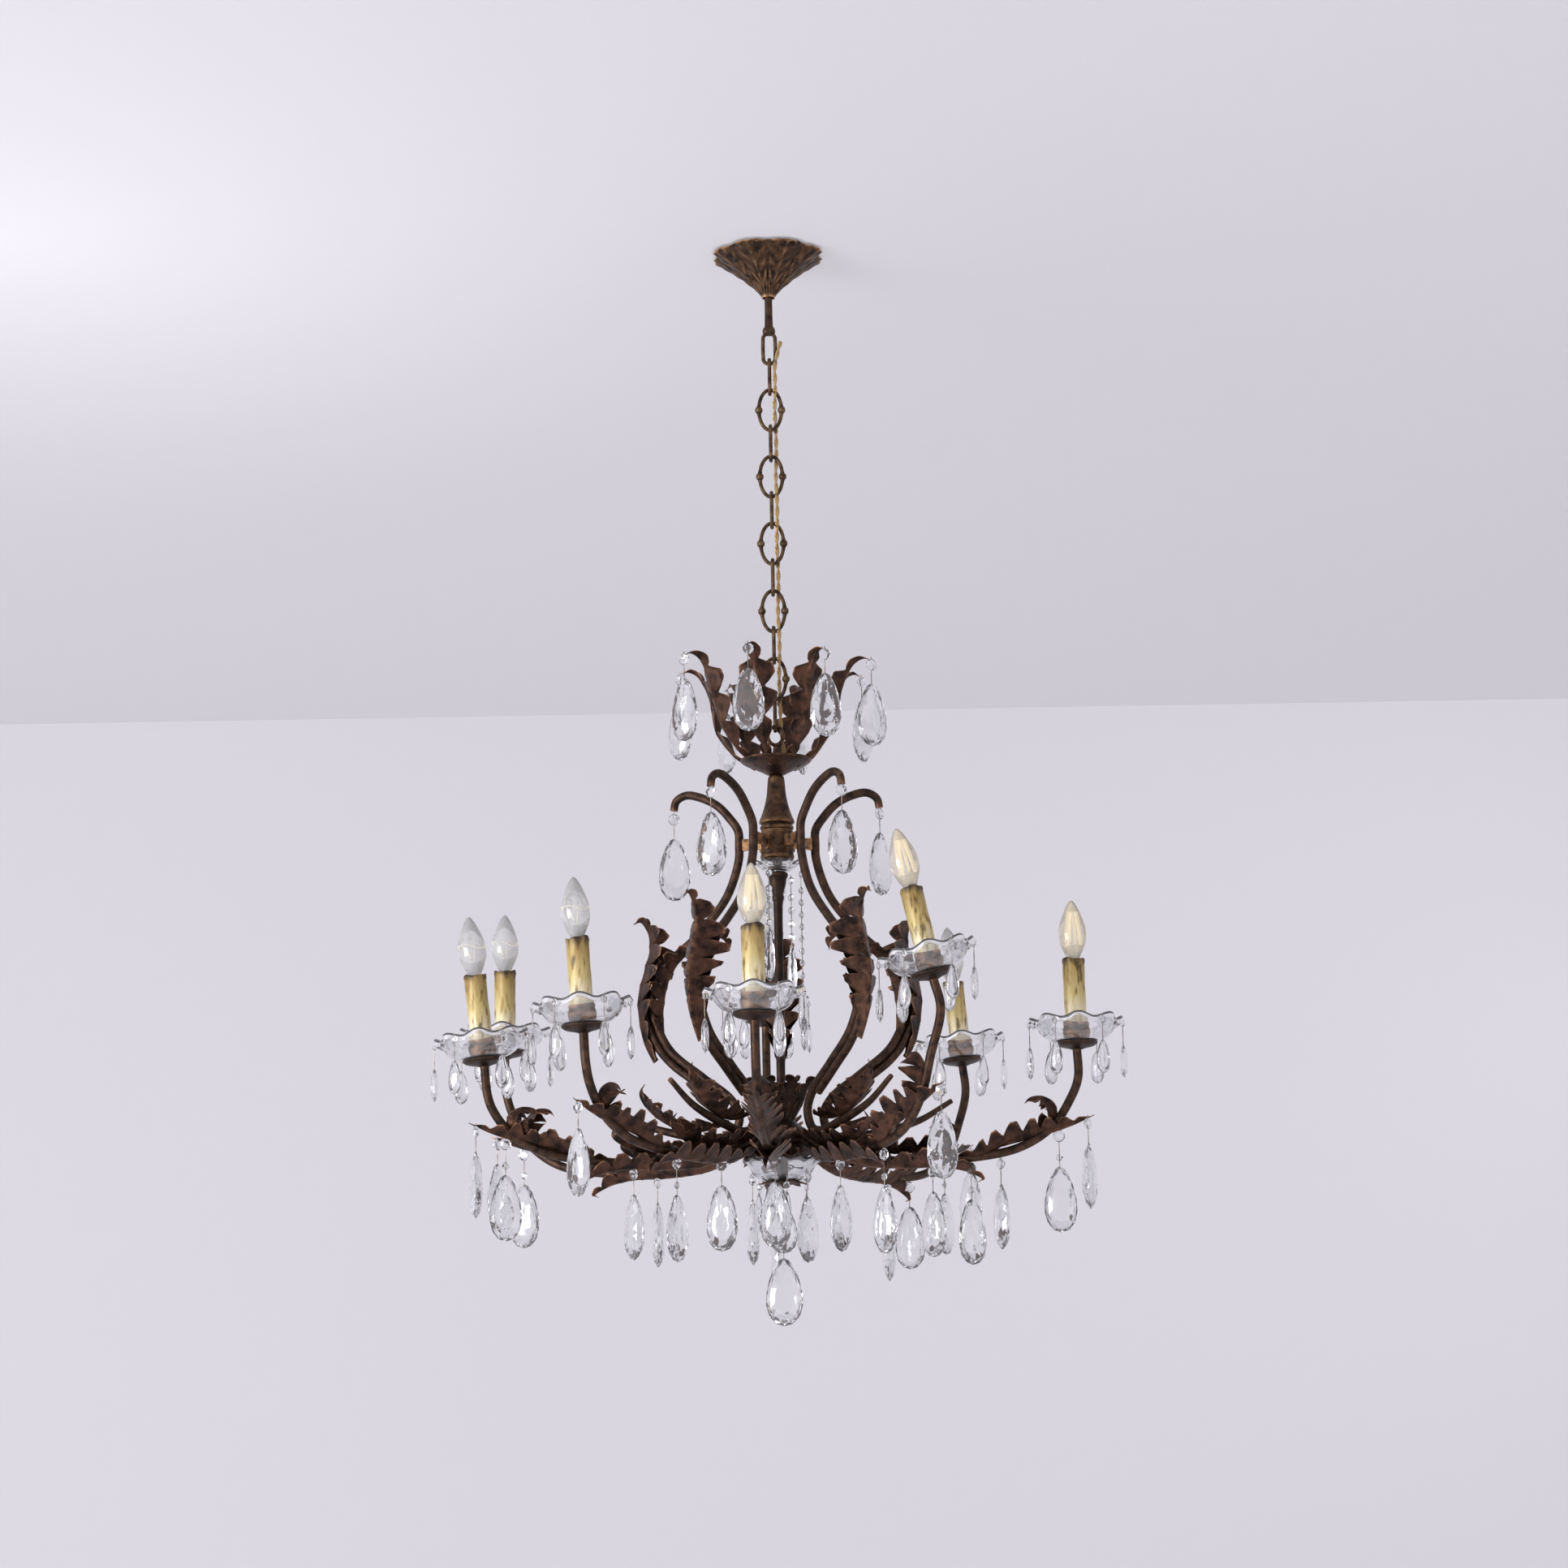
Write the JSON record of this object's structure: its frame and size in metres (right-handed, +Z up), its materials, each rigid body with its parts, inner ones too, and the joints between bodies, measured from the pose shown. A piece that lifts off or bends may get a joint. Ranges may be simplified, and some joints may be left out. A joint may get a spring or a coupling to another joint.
{
  "type": "chandelier",
  "caption": "Birdcage chandelier of bent iron scrolls and lamp arms with pressed leaves, glass candle pans and cut drops, hung on a link chain.",
  "frame": {"origin": "centre of the ceiling bar's flat top face, on the ceiling", "axes": "+Z up into the ceiling, -Y towards the front of the pictured view, +X to its right"},
  "size_m": [0.7834, 0.7466, 1.2559],
  "materials": {
    "aged_iron": "dark brown iron with worn copper-coloured edges",
    "copper_canopy": "pressed and aged copper-brown",
    "flex_cloth": "twisted and cloth covered, gold brown",
    "cut_glass": "clear, cut and polished",
    "bulb_glass": "clear thin glass with a screw base",
    "candle_gold": "cream sleeve with gold and dark wax streaks"
  },
  "bodies": {
    "ceiling_mount": {"ceiling_bar": "aged_iron", "stem": "aged_iron", "flex": "flex_cloth"},
    "canopy": {"canopy": "copper_canopy"},
    "link_1": {"chain_link_1": "aged_iron"},
    "link_2": {"chain_link_2": "aged_iron"},
    "link_3": {"chain_link_3": "aged_iron"},
    "link_4": {"chain_link_4": "aged_iron"},
    "link_5": {"chain_link_5": "aged_iron"},
    "link_6": {"chain_link_6": "aged_iron"},
    "link_7": {"chain_link_7": "aged_iron"},
    "link_8": {"chain_link_8": "aged_iron"},
    "link_9": {"chain_link_9": "aged_iron"},
    "link_10": {"chain_link_10": "aged_iron"},
    "link_11": {"chain_link_11": "aged_iron"},
    "fixture": {"crown": "aged_iron", "baluster": "aged_iron", "upper_dish": "cut_glass", "column": "aged_iron", "hub": "aged_iron", "lower_dish": "cut_glass", "lyre_1": "aged_iron", "lyre_2": "aged_iron", "lyre_3": "aged_iron", "lyre_4": "aged_iron", "lyre_5": "aged_iron", "arm_1": "aged_iron", "bobeche_1": "cut_glass", "candle_sleeve_1": "candle_gold", "bulb_1": "bulb_glass", "arm_2": "aged_iron", "bobeche_2": "cut_glass", "candle_sleeve_2": "candle_gold", "bulb_2": "bulb_glass", "arm_3": "aged_iron", "bobeche_3": "cut_glass", "candle_sleeve_3": "candle_gold", "bulb_3": "bulb_glass", "arm_4": "aged_iron", "bobeche_4": "cut_glass", "candle_sleeve_4": "candle_gold", "bulb_4": "bulb_glass", "arm_5": "aged_iron", "bobeche_5": "cut_glass", "candle_sleeve_5": "candle_gold", "bulb_5": "bulb_glass", "arm_6": "aged_iron", "bobeche_6": "cut_glass", "candle_sleeve_6": "candle_gold", "bulb_6": "bulb_glass", "arm_7": "aged_iron", "bobeche_7": "cut_glass", "candle_sleeve_7": "candle_gold", "bulb_7": "bulb_glass", "arm_8": "aged_iron", "bobeche_8": "cut_glass", "candle_sleeve_8": "candle_gold", "bulb_8": "bulb_glass"},
    "lowest_drop": {"lowest_drop": "cut_glass"},
    "hook_drop": {"hook_drop": "cut_glass"}
  },
  "joints": [
    {"name": "canopy_slide", "type": "slide", "parent": "ceiling_mount", "child": "canopy", "axis": [0, 0, -1], "range_m": [0, 0.03]},
    {"name": "link_1_swing", "type": "hinge", "parent": "ceiling_mount", "child": "link_1", "pos_m": [0, 0, -0.13325], "axis": [1, 0, 0], "range_deg": [-8, 8]},
    {"name": "link_2_swing", "type": "hinge", "parent": "link_1", "child": "link_2", "pos_m": [0, 0, -0.16995], "axis": [0, 1, 0], "range_deg": [-8, 8]},
    {"name": "link_3_swing", "type": "hinge", "parent": "link_2", "child": "link_3", "pos_m": [0, 0, -0.21415], "axis": [1, 0, 0], "range_deg": [-8, 8]},
    {"name": "link_4_swing", "type": "hinge", "parent": "link_3", "child": "link_4", "pos_m": [0, 0, -0.25085], "axis": [0, 1, 0], "range_deg": [-8, 8]},
    {"name": "link_5_swing", "type": "hinge", "parent": "link_4", "child": "link_5", "pos_m": [0, 0, -0.29505], "axis": [1, 0, 0], "range_deg": [-8, 8]},
    {"name": "link_6_swing", "type": "hinge", "parent": "link_5", "child": "link_6", "pos_m": [0, 0, -0.33175], "axis": [0, 1, 0], "range_deg": [-8, 8]},
    {"name": "link_7_swing", "type": "hinge", "parent": "link_6", "child": "link_7", "pos_m": [0, 0, -0.37595], "axis": [1, 0, 0], "range_deg": [-8, 8]},
    {"name": "link_8_swing", "type": "hinge", "parent": "link_7", "child": "link_8", "pos_m": [0, 0, -0.41265], "axis": [0, 1, 0], "range_deg": [-8, 8]},
    {"name": "link_9_swing", "type": "hinge", "parent": "link_8", "child": "link_9", "pos_m": [0, 0, -0.45685], "axis": [1, 0, 0], "range_deg": [-8, 8]},
    {"name": "link_10_swing", "type": "hinge", "parent": "link_9", "child": "link_10", "pos_m": [0, 0, -0.49355], "axis": [0, 1, 0], "range_deg": [-8, 8]},
    {"name": "link_11_swing", "type": "hinge", "parent": "link_10", "child": "link_11", "pos_m": [0, 0, -0.53775], "axis": [1, 0, 0], "range_deg": [-8, 8]},
    {"name": "fixture_swing", "type": "hinge", "parent": "link_11", "child": "fixture", "pos_m": [0, 0, -0.57445], "axis": [0, 1, 0], "range_deg": [-8, 8], "deforming": ["flex"]},
    {"name": "lowest_drop_swing", "type": "hinge", "parent": "fixture", "child": "lowest_drop", "pos_m": [0, 0, -1.1019], "axis": [1, 0, 0], "range_deg": [-25, 25]},
    {"name": "hook_drop_swing", "type": "hinge", "parent": "fixture", "child": "hook_drop", "pos_m": [-0.11888, 0.03863, -0.6593], "axis": [-0.309, -0.9511, 0], "range_deg": [-15, 15]}
  ]
}
